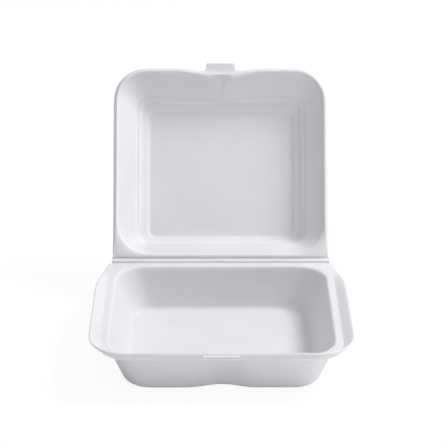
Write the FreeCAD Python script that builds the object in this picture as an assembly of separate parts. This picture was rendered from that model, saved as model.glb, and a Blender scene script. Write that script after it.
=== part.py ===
import FreeCAD, Part
import os
from math import atan2, cos, radians, sin, sqrt, tan

# Hinged foam food container, shown open with its lid leaning back.
# Millimetres. Z is up, the front with the thumb recess faces -Y, the hinge is at +Y.
# The origin is the centre of the underside of the base.

os.makedirs("parts", exist_ok=True)

# The foam sheet.
SHEET = 2.4

# Tray: overall, base and floor.
LIP_HALF_WIDTH = 117.8
LIP_FRONT = 98.8
LIP_TOP = 49.4
LEDGE_TOP = 43.6
CREASE_Y = 92.2
BASE_HALF_WIDTH = 87.0
BASE_HALF_DEPTH = 75.2
BASE_CORNER = 24.0
BASE_BEND = 11.0
FLOOR_BEND = 9.0

# Tray: the opening inside the ledge.
MOUTH_HALF_WIDTH = 99.5
MOUTH_FRONT = 88.5
MOUTH_REAR = 83.0
MOUTH_CORNER = 26.0

# Tray: the raised lip round the ledge.
LIP_ROOT_HALF_WIDTH = 106.8
LIP_ROOT_FRONT = 96.0
LIP_ROOT_CORNER = 27.0
LIP_CORNER = 34.0
LIP_EDGE = 2.6
LIP_RIM = 1.8
LIP_RAMP_START = 48.0
LIP_RAMP_END = 66.0

# Latch slot in the front lip, and the thumb recess below it.
SLOT_WIDTH = 31.0
SLOT_LOW = 43.9
SLOT_HIGH = 46.7
RECESS_HALF_WIDTH = 30.0
RECESS_DEPTH = 6.0

# The two creases and the strip between them, which is as wide as the lid.
HINGE_HALF_WIDTH = 105.0
CREASE_PITCH = 5.8
NOSE_RADIUS = 0.6
SEAT_RADIUS = 0.65
BEVEL_ANGLE = 46.0
STRIP_LEAN = 30.0
LID_LEAN = 60.0

# Lid, measured flat: length runs from its crease to its front edge.
LID_LENGTH = 187.0
LID_HALF_WIDTH = HINGE_HALF_WIDTH
LID_CORNER = 32.0
LID_DIP = 3.0
ROLL_WIDTH = 4.0
ROLL_DROP = 2.2
RIM_HALF_WIDTH = LID_HALF_WIDTH - 6.5
RIM_FRONT = LID_LENGTH - 6.0
RIM_REAR = 5.5
RIM_CORNER = 27.0
RIM_REAR_CORNER = 30.0
SHOULDER_DEPTH = 17.5
SHOULDER_HALF_WIDTH = LID_HALF_WIDTH - 23.5
SHOULDER_FRONT = LID_LENGTH - 26.0
SHOULDER_REAR = 17.6
SHOULDER_CORNER = 11.0
STEP_HALF_WIDTH = LID_HALF_WIDTH - 26.5
STEP_FRONT = LID_LENGTH - 33.4
PANEL_DEPTH = 25.9
PANEL_HALF_WIDTH = LID_HALF_WIDTH - 34.8
PANEL_FRONT = LID_LENGTH - 42.4
PANEL_REAR = 23.3
PANEL_CORNER = 5.0
LID_RECESS_DEPTH = 5.0

# Tab on the lid's front edge and the half-cone pocket behind it.
TAB_HALF_WIDTH = 13.6
TAB_ROOT_HALF_WIDTH = 14.6
TAB_REACH = 4.6
POCKET_TOP_RADIUS = 8.5
POCKET_TIP_RADIUS = 2.0
POCKET_TOP_Y = LID_LENGTH - 13.3
POCKET_TIP_Y = LID_LENGTH - 23.3
POCKET_DEPTH = 16.0

V = FreeCAD.Vector
X_AXIS = V(1, 0, 0)
Z_AXIS = V(0, 0, 1)


def corner(cx, cy, radius, start):
    """Quarter arc round (cx, cy), from the angle start, in the flat plane."""
    points = []
    for step in (0, 45, 90):
        angle = radians(start + step)
        points.append(V(cx + radius * cos(angle), cy + radius * sin(angle), 0))
    return Part.Arc(*points).toShape()


def line(a, b):
    return Part.makeLine(V(a[0], a[1], 0), V(b[0], b[1], 0))


def dipped_front(front, half_width, depth):
    """Three arcs that dip the front edge, at y = -front, back towards the middle."""
    radius = (half_width ** 2 + depth ** 2) / (4 * depth)
    half_turn = atan2(half_width / 2, radius - depth / 2) / 2
    off_x = radius * sin(half_turn)
    off_y = radius * (1 - cos(half_turn))
    left = Part.Arc(
        V(-half_width, -front, 0),
        V(-half_width + off_x, -front + off_y, 0),
        V(-half_width / 2, -front + depth / 2, 0))
    middle = Part.Arc(
        V(-half_width / 2, -front + depth / 2, 0),
        V(0, -front + depth, 0),
        V(half_width / 2, -front + depth / 2, 0))
    right = Part.Arc(
        V(half_width / 2, -front + depth / 2, 0),
        V(half_width - off_x, -front + off_y, 0),
        V(half_width, -front, 0))
    return [left.toShape(), middle.toShape(), right.toShape()]


def outline(half, front, rear, front_corner, rear_corner, height, dip=0.0):
    """Closed rounded rectangle from y = -front to y = rear, with a dip in its front."""
    edges = []
    left = -half + front_corner
    right = half - front_corner
    if dip > 0:
        edges.append(line((left, -front), (-RECESS_HALF_WIDTH, -front)))
        edges += dipped_front(front, RECESS_HALF_WIDTH, dip)
        edges.append(line((RECESS_HALF_WIDTH, -front), (right, -front)))
    else:
        edges.append(line((left, -front), (right, -front)))
    edges.append(corner(right, -front + front_corner, front_corner, -90))
    edges.append(line((half, -front + front_corner), (half, rear - rear_corner)))
    if rear_corner > 0:
        edges.append(corner(half - rear_corner, rear - rear_corner, rear_corner, 0))
    edges.append(line((half - rear_corner, rear), (-half + rear_corner, rear)))
    if rear_corner > 0:
        edges.append(corner(-half + rear_corner, rear - rear_corner, rear_corner, 90))
    edges.append(line((-half, rear - rear_corner), (-half, -front + front_corner)))
    edges.append(corner(left, -front + front_corner, front_corner, 180))
    wire = Part.Wire(edges)
    wire.translate(V(0, 0, height))
    return wire


def lip_outline(half, front, front_corner, rear_points, height):
    """Outline that is open to the hinge: the sides run back through rear_points."""
    left = -half + front_corner
    right = half - front_corner
    edges = [line((left, -front), (right, -front))]
    edges.append(corner(right, -front + front_corner, front_corner, -90))
    side = [(half, -front + front_corner)] + rear_points
    for a, b in zip(side, side[1:]):
        edges.append(line(a, b))
    mirrored = [(-x, y) for x, y in reversed(side)]
    edges.append(line(side[-1], mirrored[0]))
    for a, b in zip(mirrored, mirrored[1:]):
        edges.append(line(a, b))
    edges.append(corner(left, -front + front_corner, front_corner, 180))
    wire = Part.Wire(edges)
    wire.translate(V(0, 0, height))
    return wire


def loft(*wires):
    return Part.makeLoft(list(wires), True, True)


def plate(wire, thickness):
    return Part.Face(wire).extrude(V(0, 0, thickness))


def profile_bar(points, half_length):
    """Closed profile given as (y, z) points, drawn out along X both ways."""
    closed = [V(-half_length, y, z) for y, z in points + points[:1]]
    return Part.Face(Part.makePolygon(closed)).extrude(V(2 * half_length, 0, 0))


def round_bar(radius, half_length):
    return Part.makeCylinder(radius, 2 * half_length, V(-half_length, 0, 0), X_AXIS)


def edges_at(shape, height):
    """Edges that lie wholly in the level plane at this height."""
    found = []
    for edge in shape.Edges:
        box = edge.BoundBox
        if abs(box.ZMin - height) < 1e-4 and abs(box.ZMax - height) < 1e-4:
            found.append(edge)
    return found


def crease_cut():
    """What a crease takes off the end of a sheet whose hinge line is the origin.

    The sheet lies at -Y. A bevel opens the inner face and a round seat takes the
    nose of the strip.
    """
    slope = tan(radians(BEVEL_ANGLE))
    back = 0.75 * NOSE_RADIUS
    reach = 4.0
    wedge = profile_bar(
        [(-back, -reach), (-back, back / slope), (-reach * slope, reach), (reach, reach),
         (reach, -reach)],
        HINGE_HALF_WIDTH + 20)
    return wedge.fuse(round_bar(SEAT_RADIUS, HINGE_HALF_WIDTH + 20))


# Bend allowances: how far the outer face stands off the inner one at each fold.
INNER_RISE = SHEET - NOSE_RADIUS
AXIS_Z = LEDGE_TOP - INNER_RISE
MOUTH_OFFSET = 1.7

# Tray. The outer body of the bowl, the ledge and the lip are joined, then hollowed.
bowl = loft(
    outline(BASE_HALF_WIDTH, BASE_HALF_DEPTH, BASE_HALF_DEPTH, BASE_CORNER, BASE_CORNER,
            0, RECESS_DEPTH),
    outline(MOUTH_HALF_WIDTH + MOUTH_OFFSET, MOUTH_FRONT + MOUTH_OFFSET,
            MOUTH_REAR + MOUTH_OFFSET, MOUTH_CORNER + MOUTH_OFFSET,
            MOUTH_CORNER + MOUTH_OFFSET, LEDGE_TOP - SHEET, RECESS_DEPTH))
bowl = bowl.makeFillet(BASE_BEND, edges_at(bowl, 0))

flange_rear = [(LIP_ROOT_HALF_WIDTH + 1.1, 34.0), (LIP_ROOT_HALF_WIDTH + 5.8, 56.0),
               (LIP_ROOT_HALF_WIDTH + 5.4, 70.0), (LIP_ROOT_HALF_WIDTH + 3.8, CREASE_Y - 12),
               (LIP_ROOT_HALF_WIDTH + 1.8, CREASE_Y - 5), (HINGE_HALF_WIDTH, CREASE_Y)]
flange = plate(
    lip_outline(LIP_ROOT_HALF_WIDTH + 1.1, LIP_FRONT - 0.6, LIP_ROOT_CORNER + 1.1,
                flange_rear, LEDGE_TOP - SHEET),
    SHEET)

lip_low_rear = [(LIP_ROOT_HALF_WIDTH + 1.1, 60.0), (HINGE_HALF_WIDTH + 0.1, CREASE_Y)]
lip_high_rear = [(LIP_HALF_WIDTH, 46.0), (HINGE_HALF_WIDTH + 2.0, CREASE_Y)]
lip = loft(
    lip_outline(LIP_ROOT_HALF_WIDTH + 1.1, LIP_FRONT - 0.6, LIP_ROOT_CORNER + 1.1,
                lip_low_rear, LEDGE_TOP - SHEET),
    lip_outline(LIP_HALF_WIDTH, LIP_FRONT, LIP_CORNER, lip_high_rear, LIP_TOP - LIP_EDGE))
lip = lip.fuse(plate(
    lip_outline(LIP_HALF_WIDTH, LIP_FRONT, LIP_CORNER, lip_high_rear, LIP_TOP - LIP_EDGE),
    LIP_EDGE))

# The space inside the lip, where the closed lid's flange sits.
inside_low_rear = [(LIP_ROOT_HALF_WIDTH, 60.0), (LIP_ROOT_HALF_WIDTH, CREASE_Y + 10)]
inside_high_rear = [(LIP_HALF_WIDTH - LIP_RIM, 60.0),
                    (LIP_HALF_WIDTH - LIP_RIM, CREASE_Y + 10)]
inside_lip = loft(
    lip_outline(LIP_ROOT_HALF_WIDTH, LIP_ROOT_FRONT, LIP_ROOT_CORNER, inside_low_rear,
                LEDGE_TOP),
    lip_outline(LIP_HALF_WIDTH - LIP_RIM, LIP_ROOT_FRONT + 0.5, LIP_CORNER - LIP_RIM,
                inside_high_rear, LIP_TOP))

# The lip runs out down a ramp towards each rear corner.
ramp = profile_bar(
    [(LIP_RAMP_START, LIP_TOP + 2), (LIP_RAMP_START, LIP_TOP), (LIP_RAMP_END, LEDGE_TOP),
     (CREASE_Y + 20, LEDGE_TOP), (CREASE_Y + 20, LIP_TOP + 2)],
    LIP_HALF_WIDTH + 10)
lip = lip.cut(inside_lip).cut(ramp)

floor_inset = BASE_HALF_WIDTH - 1.7
cavity = loft(
    outline(floor_inset, BASE_HALF_DEPTH - 1.7, BASE_HALF_DEPTH - 1.8, BASE_CORNER - 1.7,
            BASE_CORNER - 1.7, SHEET, RECESS_DEPTH),
    outline(MOUTH_HALF_WIDTH, MOUTH_FRONT, MOUTH_REAR, MOUTH_CORNER, MOUTH_CORNER,
            LEDGE_TOP, RECESS_DEPTH))
cavity = cavity.makeFillet(FLOOR_BEND, edges_at(cavity, SHEET))

slot = Part.makeBox(
    SLOT_WIDTH, 6.0, SLOT_HIGH - SLOT_LOW, V(-SLOT_WIDTH / 2, -LIP_FRONT - 3, SLOT_LOW))
tray_crease = crease_cut()
tray_crease.translate(V(0, CREASE_Y, AXIS_Z))
tray = bowl.fuse([flange, lip]).cut([cavity, slot, tray_crease]).removeSplitter()

# Strip between the two creases, with a round nose along each of its edges.
slope = tan(radians(BEVEL_ANGLE))
strip = profile_bar(
    [(0, -NOSE_RADIUS), (CREASE_PITCH, -NOSE_RADIUS), (CREASE_PITCH, 0),
     (CREASE_PITCH - INNER_RISE * slope, INNER_RISE), (INNER_RISE * slope, INNER_RISE),
     (0, 0)],
    HINGE_HALF_WIDTH)
far_nose = round_bar(NOSE_RADIUS, HINGE_HALF_WIDTH)
far_nose.translate(V(0, CREASE_PITCH, 0))
strip = strip.fuse([round_bar(NOSE_RADIUS, HINGE_HALF_WIDTH), far_nose]).removeSplitter()

# Lid, first drawn flat with its crease at y = 0, its front at -Y and its inner face up.
BEND_45 = 1.0


def lid_edge(inset, height):
    return outline(LID_HALF_WIDTH - inset, LID_LENGTH - inset, 0, LID_CORNER - inset, 0,
                   height, LID_DIP)


# The flange is flat by the rim, and its outer edge rolls away from the inner face.
flange_body = loft(lid_edge(ROLL_WIDTH, 0), lid_edge(0, -ROLL_DROP))
flange_body = flange_body.fuse(
    plate(lid_edge(0, -ROLL_DROP - SHEET), SHEET))
under_flange = loft(lid_edge(ROLL_WIDTH + 0.6, -SHEET), lid_edge(0, -ROLL_DROP - SHEET))
lid_flange = flange_body.cut(under_flange)
tab_points = [(-TAB_ROOT_HALF_WIDTH, -LID_LENGTH + LID_DIP + 2),
              (-TAB_HALF_WIDTH, -LID_LENGTH - TAB_REACH),
              (TAB_HALF_WIDTH, -LID_LENGTH - TAB_REACH),
              (TAB_ROOT_HALF_WIDTH, -LID_LENGTH + LID_DIP + 2)]
tab = plate(
    Part.makePolygon([V(x, y, -SHEET) for x, y in tab_points + tab_points[:1]]), SHEET)
tab_corners = [edge for edge in tab.Edges
               if edge.Length < SHEET + 0.01 and edge.BoundBox.YMax < -LID_LENGTH - 1]
tab = tab.makeFillet(1.6, tab_corners)


def lid_rim(grow, height):
    return outline(RIM_HALF_WIDTH + grow, RIM_FRONT + grow, -RIM_REAR + grow,
                   RIM_CORNER + grow, RIM_REAR_CORNER + grow, height, LID_RECESS_DEPTH)


def lid_shoulder(grow, height):
    return outline(SHOULDER_HALF_WIDTH + grow, SHOULDER_FRONT + grow,
                   -SHOULDER_REAR + grow, SHOULDER_CORNER + grow,
                   SHOULDER_CORNER + grow, height, LID_RECESS_DEPTH)


def lid_step(grow, height):
    return outline(STEP_HALF_WIDTH + grow, STEP_FRONT + grow, -SHOULDER_REAR + grow,
                   PANEL_CORNER + 3 + grow, PANEL_CORNER + 3 + grow, height)


def lid_panel(grow, height):
    return outline(PANEL_HALF_WIDTH + grow, PANEL_FRONT + grow, -PANEL_REAR + grow,
                   PANEL_CORNER + grow, PANEL_CORNER + grow, height)


lid_bowl = loft(lid_rim(BEND_45, -SHEET), lid_shoulder(BEND_45, -SHOULDER_DEPTH - SHEET))
lid_top = loft(lid_step(BEND_45, -SHOULDER_DEPTH - SHEET),
               lid_panel(BEND_45, -PANEL_DEPTH - SHEET))
lid_space = loft(lid_rim(0, 0), lid_shoulder(0, -SHOULDER_DEPTH))
panel_space = loft(lid_step(0, -SHOULDER_DEPTH), lid_panel(0, -PANEL_DEPTH))


def half_cone(grow, above):
    """Tapered pocket along the lid's front wall, from the flange down to its tip."""
    axis = V(0, POCKET_TOP_Y - POCKET_TIP_Y, -POCKET_DEPTH)
    length = axis.Length
    taper = (POCKET_TOP_RADIUS - POCKET_TIP_RADIUS) / length
    axis.normalize()
    start = V(0, -POCKET_TOP_Y, 0) - axis * above
    return Part.makeCone(POCKET_TOP_RADIUS + grow + taper * above,
                         POCKET_TIP_RADIUS + grow, length + above, start, axis)


above_flange = Part.makeBox(60, 60, 20, V(-30, -LID_LENGTH - 10, 0))
pocket_shell = half_cone(SHEET, 2).cut(above_flange)
lid_crease = crease_cut()
lid_crease.translate(V(0, 0, -INNER_RISE))
lid = lid_flange.fuse([tab, lid_bowl, lid_top, pocket_shell])
lid = lid.cut([lid_space, panel_space, half_cone(0, 2), lid_crease]).removeSplitter()

# Stand the strip and the lid in the open pose: each crease takes half of the turn.
lean = radians(STRIP_LEAN)
far_axis = V(0, CREASE_Y + CREASE_PITCH * cos(lean), AXIS_Z + CREASE_PITCH * sin(lean))
strip.rotate(V(0, 0, 0), X_AXIS, STRIP_LEAN)
strip.translate(V(0, CREASE_Y, AXIS_Z))
lid.translate(V(0, 0, INNER_RISE))
lid.rotate(V(0, 0, 0), Z_AXIS, 180)
lid.rotate(V(0, 0, 0), X_AXIS, LID_LEAN)
lid.translate(far_axis)

for name, shape in (("tray", tray), ("hinge_strip", strip), ("lid", lid)):
    solid = shape.Solids[0] if len(shape.Solids) == 1 else shape
    print(name, "solids", len(shape.Solids), "valid", shape.isValid(),
          "volume", round(shape.Volume, 1), "box", shape.BoundBox)
    solid.exportStep("parts/" + name + ".step")
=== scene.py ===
from math import cos, pi, radians, sin, sqrt

import bmesh
import bpy
from mathutils import Matrix, Vector


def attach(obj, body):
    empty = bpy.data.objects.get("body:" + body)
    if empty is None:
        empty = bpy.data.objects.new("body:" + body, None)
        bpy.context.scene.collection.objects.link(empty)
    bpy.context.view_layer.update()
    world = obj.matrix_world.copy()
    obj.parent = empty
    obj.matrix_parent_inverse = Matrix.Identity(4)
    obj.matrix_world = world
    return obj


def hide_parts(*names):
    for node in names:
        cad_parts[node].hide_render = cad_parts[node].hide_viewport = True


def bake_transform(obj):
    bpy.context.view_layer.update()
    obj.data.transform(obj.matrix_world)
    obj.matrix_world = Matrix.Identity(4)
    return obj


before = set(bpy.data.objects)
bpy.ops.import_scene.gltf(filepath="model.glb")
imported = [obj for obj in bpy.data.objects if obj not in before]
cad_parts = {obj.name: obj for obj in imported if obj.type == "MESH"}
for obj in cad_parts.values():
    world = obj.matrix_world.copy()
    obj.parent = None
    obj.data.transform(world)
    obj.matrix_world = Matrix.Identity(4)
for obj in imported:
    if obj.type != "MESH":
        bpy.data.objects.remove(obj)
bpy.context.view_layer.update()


# White polystyrene foam sheet, the only stuff of the whole container. Its skin is smooth
# and matt, lets a little light through, and shows the fine closed cells underneath.
def foam_sheet():
    finish = bpy.data.materials.new("white_foam")
    finish.use_nodes = True
    nodes, links = finish.node_tree.nodes, finish.node_tree.links
    skin = nodes["Principled BSDF"]
    skin.inputs["Roughness"].default_value = 0.5
    skin.inputs["IOR"].default_value = 1.4
    skin.inputs["Specular IOR Level"].default_value = 0.35
    skin.inputs["Subsurface Weight"].default_value = 0.5
    skin.inputs["Subsurface Radius"].default_value = (1.0, 1.0, 1.0)
    skin.inputs["Subsurface Scale"].default_value = 0.004
    place = nodes.new("ShaderNodeTexCoord")

    # Closed cells, about a millimetre across, under the skin.
    cells = nodes.new("ShaderNodeTexVoronoi")
    cells.inputs["Scale"].default_value = 900.0
    links.new(place.outputs["Object"], cells.inputs["Vector"])

    # Slow unevenness of the pressed sheet, a few centimetres across.
    clouds = nodes.new("ShaderNodeTexNoise")
    clouds.inputs["Scale"].default_value = 28.0
    clouds.inputs["Detail"].default_value = 3.0
    links.new(place.outputs["Object"], clouds.inputs["Vector"])

    tone = nodes.new("ShaderNodeMix")
    tone.data_type = "RGBA"
    tone.inputs[6].default_value = (0.70, 0.70, 0.712, 1.0)
    tone.inputs[7].default_value = (0.76, 0.76, 0.77, 1.0)
    links.new(clouds.outputs["Fac"], tone.inputs[0])
    speckle = nodes.new("ShaderNodeMix")
    speckle.data_type = "RGBA"
    speckle.blend_type = "MULTIPLY"
    speckle.inputs[0].default_value = 0.05
    links.new(tone.outputs[2], speckle.inputs[6])
    links.new(cells.outputs["Distance"], speckle.inputs[7])
    links.new(speckle.outputs[2], skin.inputs["Base Color"])

    grain = nodes.new("ShaderNodeBump")
    grain.inputs["Strength"].default_value = 0.05
    grain.inputs["Distance"].default_value = 0.0003
    links.new(cells.outputs["Distance"], grain.inputs["Height"])
    swell = nodes.new("ShaderNodeBump")
    swell.inputs["Strength"].default_value = 0.12
    swell.inputs["Distance"].default_value = 0.002
    links.new(clouds.outputs["Fac"], swell.inputs["Height"])
    links.new(grain.outputs["Normal"], swell.inputs["Normal"])
    links.new(swell.outputs["Normal"], skin.inputs["Normal"])
    return finish


white_foam = foam_sheet()

# The tray: base, sloping walls with the thumb recess, a flat ledge for the closed lid, and
# the raised lip round three sides that runs out towards the rear corners. One pressed sheet.
sheet_thickness = 2.4
recess_half = 31.0
slot_half = 16.5
on_line = 1e-3


def flat_sheet():
    """An empty sheet, whose points can carry the number of the fold they lie on."""
    sheet = bmesh.new()
    sheet.verts.layers.int.new("fold")
    return sheet


def formed_loop(sheet, half, front, rear, front_round, rear_round, height, dip=0.0, fold=0,
                dip_half=recess_half):
    """One loop of the forming tool: a rounded rectangle whose front dips back.

    Every loop gets the same number of points, so that the next one can be bridged to it.
    """
    pattern = bmesh.new()
    corners = [pattern.verts.new((x, y, height)) for x, y in
               ((-half, -front), (half, -front), (half, rear), (-half, rear))]
    pattern.faces.new(corners)
    for points, radius in ((corners[:2], front_round), (corners[2:], rear_round)):
        bmesh.ops.bevel(pattern, geom=points, offset=radius, segments=8, profile=0.5,
                        affect="VERTICES", material=-1)
    bmesh.ops.delete(pattern, geom=pattern.faces[:], context="FACES_ONLY")
    for axis, value, cuts in ((1, -front, 19), (1, rear, 7), (0, half, 9), (0, -half, 9)):
        runs = [e for e in pattern.edges
                if all(abs(v.co[axis] - value) < on_line for v in e.verts)]
        longest = max(runs, key=lambda e: e.calc_length())
        bmesh.ops.subdivide_edges(pattern, edges=[longest], cuts=cuts)

    # The middle of the front carries the slot, the tab or the pocket: finer points there.
    middle = [e for e in pattern.edges
              if all(v.co.y < -front + on_line and abs(v.co.x) < slot_half + 0.5
                     for v in e.verts)]
    bmesh.ops.subdivide_edges(pattern, edges=middle, cuts=4)
    for v in pattern.verts:
        if v.co.y < -front + on_line and abs(v.co.x) < dip_half:
            v.co.y += dip * (0.5 + 0.5 * cos(pi * v.co.x / dip_half))

    # Every loop is traced from the middle of its front, round by the right.
    at = min((v for v in pattern.verts if v.co.y < (rear - front) / 2),
             key=lambda v: abs(v.co.x))
    order, ahead = [at], max((e.other_vert(at) for e in at.link_edges), key=lambda v: v.co.x)
    while ahead is not order[0]:
        order.append(ahead)
        ahead = [v for e in ahead.link_edges for v in [e.other_vert(ahead)]
                 if v is not order[-2]][0]
    loop = [sheet.verts.new(v.co) for v in order]
    pattern.free()
    for v, beside in zip(loop, loop[1:] + loop[:1]):
        sheet.edges.new((v, beside))
        v[sheet.verts.layers.int["fold"]] = fold
    return loop


def wall_loops(sheet, inner, outer, count):
    """Evenly spaced loops up a wall, between the loops at its foot and its top."""
    return [[sheet.verts.new(a.co.lerp(b.co, step / (count + 1)))
             for a, b in zip(inner, outer)] for step in range(1, count + 1)]


def loop_edges(sheet, loop):
    """The edges of one loop, in its order."""
    return [sheet.edges.get((v, beside)) for v, beside in zip(loop, loop[1:] + loop[:1])]


def bridge(sheet, loops):
    """The sheet between each loop and the next, whose points run in the same order."""
    return [[sheet.faces.new((a, a_next, b_next, b)) for a, a_next, b, b_next in
             zip(inner, inner[1:] + inner[:1], outer, outer[1:] + outer[:1])]
            for inner, outer in zip(loops, loops[1:])]


def round_fold(sheet, fold, radius, segments):
    """Presses a round fold along a numbered loop, which the forming tool has no edge for."""
    number = sheet.verts.layers.int["fold"]
    edges = [e for e in sheet.edges if all(v[number] == fold for v in e.verts)]
    bmesh.ops.bevel(sheet, geom=edges, offset=radius, segments=segments, profile=0.5,
                    affect="EDGES", material=-1, loop_slide=True)
    for v in sheet.verts:
        if v[number] == fold:
            v[number] = 0


def back_skin(sheet):
    """Gives the sheet its thickness, square to the skin, with a wall round every edge.

    In a tight fold the second skin goes out no further than most, so that it grows no spikes.
    """
    most = 1.3
    sheet.normal_update()
    skin, rims = sheet.verts[:], [e for e in sheet.edges if e.is_boundary]
    offset = {v: v.normal * sheet_thickness * min(v.calc_shell_factor(), most) for v in skin}
    copied = bmesh.ops.duplicate(sheet, geom=skin + sheet.edges[:] + sheet.faces[:])
    twin = copied["vert_map"]
    for v in skin:
        twin[v].co -= offset[v]
    for e in rims:
        a, b = e.verts
        sheet.faces.new((a, b, twin[b], twin[a]))
    bmesh.ops.recalc_face_normals(sheet, faces=sheet.faces)


def formed_piece(sheet, name, place, body, node, crease_y):
    """Cuts the sheet off at its crease, thickens it, bevels that edge and stands it in place."""
    bmesh.ops.bisect_plane(sheet, geom=sheet.verts[:] + sheet.edges[:] + sheet.faces[:],
                           plane_co=(0, crease_y, 0), plane_no=(0, 1, 0), clear_outer=True)
    bmesh.ops.recalc_face_normals(sheet, faces=sheet.faces)
    if sum(f.normal.z * f.calc_area() for f in sheet.faces) < 0:
        bmesh.ops.reverse_faces(sheet, faces=sheet.faces)
    back_skin(sheet)
    hinge_edge = [v for v in sheet.verts if v.co.y > crease_y - 0.05]
    top = max(v.co.z for v in hinge_edge)
    for v in hinge_edge:
        if v.co.z > top - 1:
            v.co.y -= crease_bevel
    bmesh.ops.transform(sheet, matrix=Matrix.Scale(0.001, 4) @ place, verts=sheet.verts)
    for f in sheet.faces:
        f.smooth = True
    mesh = bpy.data.meshes.new(name)
    sheet.to_mesh(mesh)
    sheet.free()
    piece = bpy.data.objects.new(name, mesh)
    bpy.context.scene.collection.objects.link(piece)
    mesh.materials.append(white_foam)
    smooth = piece.modifiers.new("soft_folds", "SUBSURF")
    smooth.levels = smooth.render_levels = 2
    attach(piece, body)
    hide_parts(node)


ledge_height = 43.6
lip_height = 49.4
root_half = 106.8
lip_half = 116.55
tray_crease = 92.2
crease_bevel = 1.8

tray_sheet = flat_sheet()
floor_middle = formed_loop(tray_sheet, 70, 55, 55, 10, 10, sheet_thickness, 4)
floor_edge = formed_loop(tray_sheet, 85.3, 73.5, 73.4, 22.3, 22.3, sheet_thickness, 6, fold=1)
mouth = formed_loop(tray_sheet, 99.5, 88.5, 83.0, 26, 26, ledge_height, 6, fold=2)
lip_root = formed_loop(tray_sheet, root_half, 96.0, tray_crease + 3, 27, 1.2, ledge_height,
                       fold=3)
slot_low = formed_loop(tray_sheet, 108.4, 96.1, tray_crease + 4, 28, 1.2, ledge_height + 1.0)
slot_high = formed_loop(tray_sheet, 111.9, 96.2, tray_crease + 7, 30, 1.2, ledge_height + 3.1)
lip_top = formed_loop(tray_sheet, lip_half, 96.4, tray_crease + 10, 33, 1.2, lip_height)

side_inside = 100.0
lip_turn, rear_corner = 22.0, 82.0
sink_start, sink_end = 44.0, 70.0
root_turn, root_end = 60.0, 92.0
side_draw = 7.0
corner_draw = 4.9
root_draw = 2.2


def ramp(value, start, end):
    """0 up to the start, 1 from the end on, and a straight slope between them."""
    return min(1.0, max(0.0, (value - start) / (end - start)))


def run_out(v):
    """The lip sinks to the ledge and draws in towards each rear corner."""
    if v.co.y < lip_turn or abs(v.co.x) < side_inside:
        if v.co.y > root_turn:
            v.co.z = ledge_height
        return
    share = ramp(abs(v.co.x), root_half, lip_half)
    sink = ramp(v.co.y, sink_end, sink_start)
    v.co.z = ledge_height + (v.co.z - ledge_height) * sink * sink * (3 - 2 * sink)
    along = (min(v.co.y, rear_corner) - lip_turn) / (rear_corner - lip_turn)
    edge = lip_half - side_draw * along ** 2
    if v.co.y > rear_corner:
        round_corner = (v.co.y - rear_corner) / (tray_crease - rear_corner)
        edge -= corner_draw * (1 - sqrt(max(0.0, 1 - round_corner ** 2)))
    root = root_half - root_draw * ramp(v.co.y, root_turn, root_end)
    v.co.x = (root + (edge - root) * share) * (1 if v.co.x > 0 else -1)


for loop in (lip_root, slot_low, slot_high, lip_top):
    for v in loop:
        run_out(v)
bmesh.ops.edgeloop_fill(tray_sheet, edges=loop_edges(tray_sheet, floor_middle))
wall = wall_loops(tray_sheet, floor_edge, mouth, 3)
bridge(tray_sheet, [floor_middle, floor_edge] + wall + [mouth, lip_root])
bands = bridge(tray_sheet, [lip_root, slot_low, slot_high, lip_top])

# The latch slot is punched through the foot of the front lip, as wide as the lid's tab.
slot = [f for f in bands[1] if f.calc_center_median().y < -90
        and all(abs(v.co.x) < slot_half for v in f.verts)]
bmesh.ops.delete(tray_sheet, geom=slot, context="FACES")
for fold, radius, segments in ((1, 3.8, 3), (2, 2.2, 3), (3, 0.6, 2)):
    round_fold(tray_sheet, fold, radius, segments)
formed_piece(tray_sheet, "tray_foam", Matrix.Identity(4), "tray", "tray", tray_crease)

# The lid: a shallower pressed sheet of the same foam, with a rolled flange, a stepped
# border round its panel, a tab on its front edge and a half-cone pocket behind the tab.
panel_height = -25.9
edge_height = -2.2
rim_dip = 44.0

lid_sheet = flat_sheet()
panel_middle = formed_loop(lid_sheet, 62, 134, -34, 5, 5, panel_height)
panel_edge = formed_loop(lid_sheet, 70.4, 144.6, -23.3, 6, 6, panel_height, fold=1)
border_low = formed_loop(lid_sheet, 71.8, 146.3, -22.3, 7, 7, -23.4)
border_high = formed_loop(lid_sheet, 78.0, 153.6, -19.6, 9, 9, -21.2)
step_top = formed_loop(lid_sheet, 79.2, 155.2, -18.6, 9, 9, -17.9, fold=2)
shoulder = formed_loop(lid_sheet, 82.0, 160.6, -16.4, 11, 11, -17.3, 3.2, fold=3)
wall_foot = formed_loop(lid_sheet, 83.0, 161.8, -15.7, 12, 12, -15.2, 3.4)
rim_low = formed_loop(lid_sheet, 99.3, 181.6, -5.3, 27, 30, -4.3, 7.4, dip_half=rim_dip)
rim = formed_loop(lid_sheet, 99.9, 182.2, -5.0, 28, 31, 0, 7.0, dip_half=rim_dip)
flat_edge = formed_loop(lid_sheet, 101.6, 184.0, 3, 29, 1.2, 0, 3.7, dip_half=rim_dip)
lid_edge = formed_loop(lid_sheet, 104.9, 186.9, 6, 32, 1.2, edge_height, 3.6,
                       dip_half=rim_dip)

# The flange's turned-down edge runs out flat at the hinge.
for v in lid_edge:
    v.co.z *= ramp(v.co.y, -2, -16)

# The ledge between the two walls dies out in the one long wall on the hinge side.
for loop, shift in ((step_top, -1.6), (shoulder, 1.6), (wall_foot, 1.6)):
    for v in loop:
        v.co.z += shift * ramp(v.co.y, -44, -24)
bmesh.ops.edgeloop_fill(lid_sheet, edges=loop_edges(lid_sheet, panel_middle))
wall = wall_loops(lid_sheet, wall_foot, rim_low, 8)
bridge(lid_sheet, [panel_middle, panel_edge, border_low, border_high, step_top, shoulder,
                   wall_foot] + wall + [rim_low, rim, flat_edge, lid_edge])

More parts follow.
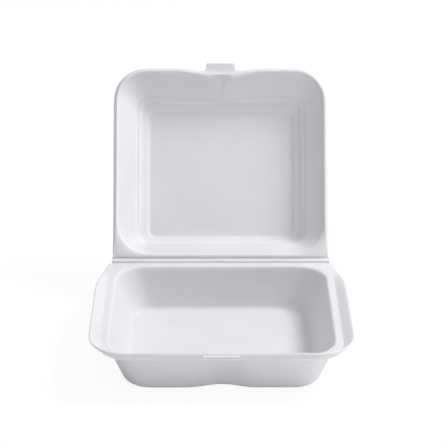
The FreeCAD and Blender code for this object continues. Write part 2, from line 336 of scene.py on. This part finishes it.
# The pocket: a half cone pressed along the front wall, wide at the rim, closed below. Its
# axis leans with the wall, and it goes no further forward than the flange leaves room for.
pocket_depth = 12.5
pocket_half = 10.5
mouth_radius = 9.4
radius_loss = 7.0
mouth_axis = -174.6
axis_lean = 13.0
furthest = -179.5
for v in [v for loop in wall + [rim_low, rim] for v in loop]:
    down = -v.co.z / pocket_depth
    if v.co.y > -150 or down > 1.02 or abs(v.co.x) > pocket_half:
        continue
    radius = mouth_radius - radius_loss * down
    if abs(v.co.x) < radius:
        pressed = mouth_axis + axis_lean * down - sqrt(radius ** 2 - v.co.x ** 2)
        v.co.y = min(v.co.y, max(pressed, furthest))

# The tab grows out of the middle of the turned-down edge, level and a little narrower.
tab_half = 14.7
tab_root = [e for e in loop_edges(lid_sheet, lid_edge)
            if all(v.co.y < -180 and abs(v.co.x) < tab_half for v in e.verts)]
for reach, half, rise in ((-188.6, 14.3, 0.8), (-190.9, 13.7, 1.0), (-191.5, 13.6, 1.0)):
    out = bmesh.ops.extrude_edge_only(lid_sheet, edges=tab_root)["geom"]
    moved = [v for v in out if isinstance(v, bmesh.types.BMVert)]
    tab_root = [e for e in out if isinstance(e, bmesh.types.BMEdge)
                and all(v in moved for v in e.verts)]
    widest = max(abs(v.co.x) for v in moved)
    for v in moved:
        v.co.y = reach
        v.co.x *= half / widest
        v.co.z = edge_height + rise
for fold, radius in ((1, 1.6), (2, 0.8), (3, 0.8)):
    round_fold(lid_sheet, fold, radius, 2)

# It stands open, turned about the upper one of two creases that lie inside the sheet.
lid_lean = 60.0
strip_lean = 30.0
crease_pitch = 5.8
axis_depth = 1.8
axis_height = ledge_height - axis_depth
lid_axis = Vector((0, tray_crease + crease_pitch * cos(radians(strip_lean)),
                   axis_height + crease_pitch * sin(radians(strip_lean))))
lid_place = (Matrix.Translation(lid_axis) @ Matrix.Rotation(radians(lid_lean), 4, "X")
             @ Matrix.Rotation(pi, 4, "Z") @ Matrix.Translation((0, 0, axis_depth)))
formed_piece(lid_sheet, "lid_foam", lid_place, "lid", "lid", 0.0)

# The strip between the two creases: foam of full thickness that folds up on both edges.
# It is the solid itself, with the foam finish.
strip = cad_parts["hinge_strip"]
for held in strip.material_slots:
    held.material = white_foam


# The creases: along each edge of the strip the foam is pressed down to a thin web. On the real
# box it bends when the lid is shut and holds the two sheets beside it together over their whole
# width;
# here it is built once, bent as the lid stands open.
web_half = 104.8
web_reach = 1.8
bend_reach = 1.2
end_out, end_in = 0.35, 0.25
bend_out, bend_in = 0.45, 0.3


def directions(lean):
    """Along a sheet with this lean, away from the tray, and square to it, inwards."""
    turn = radians(lean)
    return Vector((0, cos(turn), sin(turn))), Vector((0, -sin(turn), cos(turn)))


def crease_web(name, axis, lean_a, lean_b):
    """A thin web bent over its axis, from one sheet's outer face to the next one's."""
    web = bmesh.new()
    points = []
    for lean, way in ((lean_a, -1), (lean_b, 1)):
        along, inward = directions(lean)
        end = axis + along * way * web_reach
        points.append([end - inward * end_out, end + inward * end_in])
    inward = directions((lean_a + lean_b) / 2)[1]
    rows = [points[0][0], axis - inward * bend_out, points[1][0],
            points[1][1], axis + inward * bend_in, points[0][1]]
    left = [web.verts.new(p + Vector((-web_half, 0, 0))) for p in rows]
    face = web.faces.new(left)
    out = bmesh.ops.extrude_face_region(web, geom=[face])["geom"]
    bmesh.ops.translate(web, vec=(2 * web_half, 0, 0),
                        verts=[v for v in out if isinstance(v, bmesh.types.BMVert)])
    long_edges = [e for e in web.edges if e.calc_length() > 100]
    bmesh.ops.subdivide_edges(web, edges=long_edges, cuts=20, use_grid_fill=True)
    bmesh.ops.recalc_face_normals(web, faces=web.faces)
    bmesh.ops.scale(web, vec=(0.001, 0.001, 0.001), verts=web.verts)
    for f in web.faces:
        f.smooth = len(f.verts) == 4
    mesh = bpy.data.meshes.new(name)
    web.to_mesh(mesh)
    web.free()
    piece = bpy.data.objects.new(name, mesh)
    bpy.context.scene.collection.objects.link(piece)
    mesh.materials.append(white_foam)
    end = axis + directions(lean_b)[0] * bend_reach
    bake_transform(piece)


tray_axis = Vector((0, tray_crease, axis_height))
crease_web("tray_crease_web", tray_axis, 0.0, strip_lean)
crease_web("lid_crease_web", lid_axis, strip_lean, lid_lean)


# The studio: a plain white floor that keeps a faint shadow, and a surround that the camera
# sees as pure white. It lights the foam from above more than from the sides.
def studio():
    """The floor, half glowing for the camera, and the world behind it."""
    floor_mesh = bpy.data.meshes.new("floor")
    ground = bmesh.new()
    bmesh.ops.create_grid(ground, x_segments=1, y_segments=1, size=6.0)
    ground.to_mesh(floor_mesh)
    ground.free()
    floor = bpy.data.objects.new("floor", floor_mesh)
    floor.location.z = -0.0003
    bpy.context.scene.collection.objects.link(floor)
    paint = bpy.data.materials.new("white_floor")
    paint.use_nodes = True
    nodes, links = paint.node_tree.nodes, paint.node_tree.links
    matt = nodes["Principled BSDF"]
    matt.inputs["Base Color"].default_value = (0.9, 0.9, 0.9, 1)
    matt.inputs["Roughness"].default_value = 0.9
    glow = nodes.new("ShaderNodeEmission")
    glow.inputs["Strength"].default_value = 1.06
    seen = nodes.new("ShaderNodeLightPath")
    share = nodes.new("ShaderNodeMath")
    share.operation = "MULTIPLY"
    share.inputs[1].default_value = 0.85
    mixed = nodes.new("ShaderNodeMixShader")
    links.new(seen.outputs["Is Camera Ray"], share.inputs[0])
    links.new(share.outputs[0], mixed.inputs[0])
    links.new(matt.outputs[0], mixed.inputs[1])
    links.new(glow.outputs[0], mixed.inputs[2])
    links.new(mixed.outputs[0], nodes["Material Output"].inputs["Surface"])
    floor_mesh.materials.append(paint)

    world = bpy.data.worlds.new("white_surround")
    bpy.context.scene.world = world
    world.use_nodes = True
    nodes, links = world.node_tree.nodes, world.node_tree.links
    light = nodes["Background"]
    light.inputs["Color"].default_value = (0.96, 0.97, 1.0, 1)

    # The surround is brightest overhead and dims towards the horizon.
    place = nodes.new("ShaderNodeTexCoord")
    parts = nodes.new("ShaderNodeSeparateXYZ")
    sky = nodes.new("ShaderNodeMapRange")
    sky.inputs["To Min"].default_value = 0.16
    sky.inputs["To Max"].default_value = 0.80
    links.new(place.outputs["Generated"], parts.inputs[0])
    links.new(parts.outputs["Z"], sky.inputs["Value"])
    links.new(sky.outputs["Result"], light.inputs["Strength"])
    white = nodes.new("ShaderNodeBackground")
    white.inputs["Strength"].default_value = 1.0
    white.inputs["Color"].default_value = (1, 1, 1, 1)
    seen = nodes.new("ShaderNodeLightPath")
    sees_white = seen.outputs["Is Camera Ray"]
    for ray in ("Is Glossy Ray", "Is Transmission Ray"):
        either = nodes.new("ShaderNodeMath")
        either.operation = "MAXIMUM"
        links.new(sees_white, either.inputs[0])
        links.new(seen.outputs[ray], either.inputs[1])
        sees_white = either.outputs[0]
    mixed = nodes.new("ShaderNodeMixShader")
    links.new(sees_white, mixed.inputs[0])
    links.new(light.outputs[0], mixed.inputs[1])
    links.new(white.outputs[0], mixed.inputs[2])
    links.new(mixed.outputs[0], nodes["World Output"].inputs["Surface"])


def soft_light(name, place, aim, size, power, depth=None):
    """A large lamp turned to its aim: round, or with a depth a flat strip."""
    lamp = bpy.data.lights.new(name, "AREA")
    lamp.shape = "RECTANGLE" if depth else "DISK"
    lamp.size = size
    if depth:
        lamp.size_y = depth
    lamp.energy = power
    lamp_object = bpy.data.objects.new(name, lamp)
    bpy.context.scene.collection.objects.link(lamp_object)
    lamp_object.location = place
    turn = (Vector(aim) - Vector(place)).to_track_quat("-Z", "Y")
    lamp_object.rotation_euler = turn.to_euler()


studio()
soft_light("key_light", (1.3, 0.18, 1.7), (0, 0.05, 0.05), 0.7, 31)
soft_light("front_light", (1.0, -1.2, 0.1), (0, 0, 0.12), 0.7, 3.6, 0.08)

# The camera stands where the photograph was taken from: a long lens, looking down on the
# open box from the front.
focal_pixels = 1660
photo_pixels = 447
sensor_width = 36
camera = bpy.data.cameras.new("camera")
camera.sensor_width = sensor_width
camera.lens = sensor_width * focal_pixels / photo_pixels
camera.clip_end = 50
camera_object = bpy.data.objects.new("camera", camera)
bpy.context.scene.collection.objects.link(camera_object)
pitch, yaw, roll = radians(24.7), radians(0.45), radians(-0.18)
camera_object.matrix_world = (
    Matrix.Translation((-0.0089, -1.3453, 0.7456)) @ Matrix.Rotation(-yaw, 4, "Z")
    @ Matrix.Rotation(pi / 2 - pitch, 4, "X") @ Matrix.Rotation(-roll, 4, "Z"))
bpy.context.scene.camera = camera_object
bpy.context.scene.view_settings.view_transform = "Standard"
